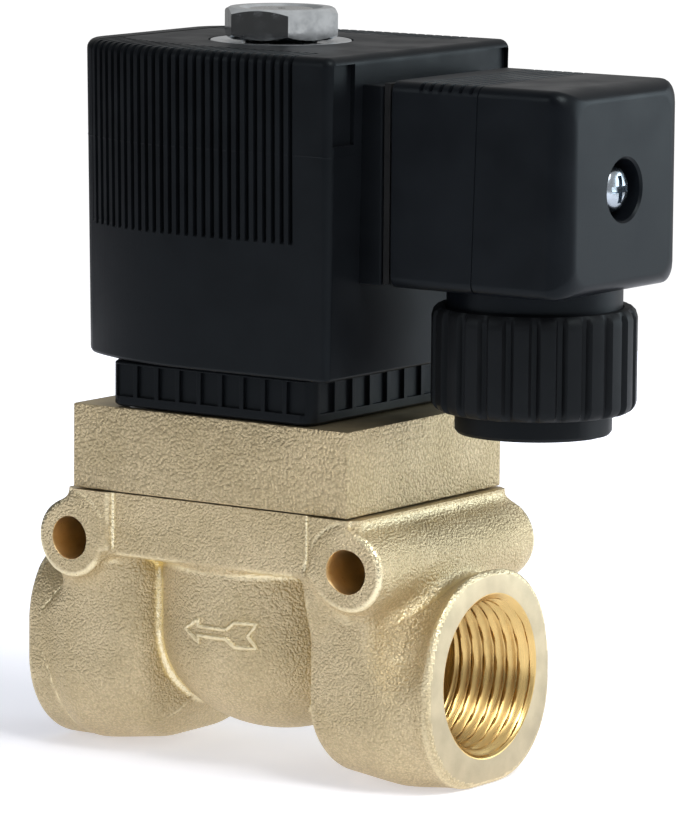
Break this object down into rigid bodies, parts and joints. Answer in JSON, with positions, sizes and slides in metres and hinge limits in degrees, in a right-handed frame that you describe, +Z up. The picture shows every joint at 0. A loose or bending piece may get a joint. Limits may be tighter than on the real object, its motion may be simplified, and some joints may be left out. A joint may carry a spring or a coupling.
{
  "type": "solenoid valve",
  "caption": "Servo-assisted piston valve with threaded ports in line, a clip-round solenoid coil on a vertical tube, a hex nut over it, and a side cable plug with a gland.",
  "frame": {"origin": "under the middle of the part, on the surface that its two port bosses stand on", "axes": "+X towards the inlet port and the cable plug, +Y away from the side that shows the flow arrow, +Z up along the solenoid tube"},
  "size_m": [0.0844, 0.0418, 0.0995],
  "materials": {
    "brass": "bead blasted, with machined faces",
    "zinc": "bright zinc plate",
    "stainless": "turned",
    "copper": "enamelled copper wire, and a plain copper ring",
    "iron": "pressed sheet, phosphated",
    "rubber": "moulded",
    "black_plastic": "satin moulding",
    "nylon": "moulded",
    "white_plastic": "moulded"
  },
  "bodies": {
    "valve": {"valve_body": "brass", "bonnet": "brass", "bonnet_screw_1": "zinc", "bonnet_screw_2": "zinc", "bonnet_screw_3": "zinc", "bonnet_screw_4": "zinc", "bonnet_o_ring": "rubber", "pilot_nozzle": "stainless", "guide_tube": "stainless", "guide_tube_o_ring": "rubber", "fixed_core": "stainless", "shading_ring": "copper", "coil_lower_o_ring": "rubber", "piston_spring": "stainless", "armature_spring": "stainless"},
    "piston": {"main_piston": "brass", "piston_guide_ring": "white_plastic", "piston_seal": "rubber"},
    "armature": {"armature": "stainless", "armature_seal": "rubber"},
    "coil": {"coil_shell": "black_plastic", "coil_base_skirt": "black_plastic", "coil_bobbin": "white_plastic", "coil_winding": "copper", "yoke_bracket": "iron", "yoke_plate": "iron", "power_blade_front": "zinc", "power_blade_rear": "zinc", "earth_blade": "zinc", "plug_screw_insert": "brass", "coil_upper_o_ring": "rubber", "top_washer": "zinc"},
    "nut": {"hex_nut": "zinc"},
    "plug": {"plug_housing": "black_plastic", "plug_gasket": "rubber", "terminal_block": "nylon", "power_terminal_screw_front": "zinc", "power_terminal_screw_rear": "zinc", "earth_terminal_screw": "zinc", "gland_grommet": "rubber", "gland_washer": "white_plastic", "gland_end_ring": "black_plastic", "plug_screw_seal": "rubber"},
    "plug_screw": {"plug_screw": "zinc"},
    "gland_nut": {"gland_nut": "black_plastic"}
  },
  "joints": [
    {"name": "piston_lift", "type": "slide", "parent": "valve", "child": "piston", "axis": [0, 0, 1], "range_m": [0, 0.003], "stiffness_N_per_m": 250, "springref_m": -0.004, "deforming": ["piston_spring"]},
    {"name": "armature_lift", "type": "slide", "parent": "valve", "child": "armature", "axis": [0, 0, 1], "range_m": [0, 0.0016], "stiffness_N_per_m": 300, "springref_m": -0.003, "deforming": ["armature_spring"]},
    {"name": "coil_swivel", "type": "hinge", "parent": "valve", "child": "coil", "pos_m": [-0.0112, 0, 0.0538], "axis": [0, 0, 1], "continuous": true},
    {"name": "nut_spin", "type": "hinge", "parent": "valve", "child": "nut", "pos_m": [-0.0112, 0, 0.0954], "axis": [0, 0, 1], "continuous": true},
    {"name": "plug_pull", "type": "slide", "parent": "coil", "child": "plug", "axis": [1, 0, 0], "range_m": [0, 0.016]},
    {"name": "plug_screw_spin", "type": "hinge", "parent": "plug", "child": "plug_screw", "pos_m": [0.0422, 0, 0.079], "axis": [1, 0, 0], "continuous": true},
    {"name": "gland_nut_spin", "type": "hinge", "parent": "plug", "child": "gland_nut", "pos_m": [0.0289, 0, 0.0498], "axis": [0, 0, 1], "continuous": true}
  ]
}
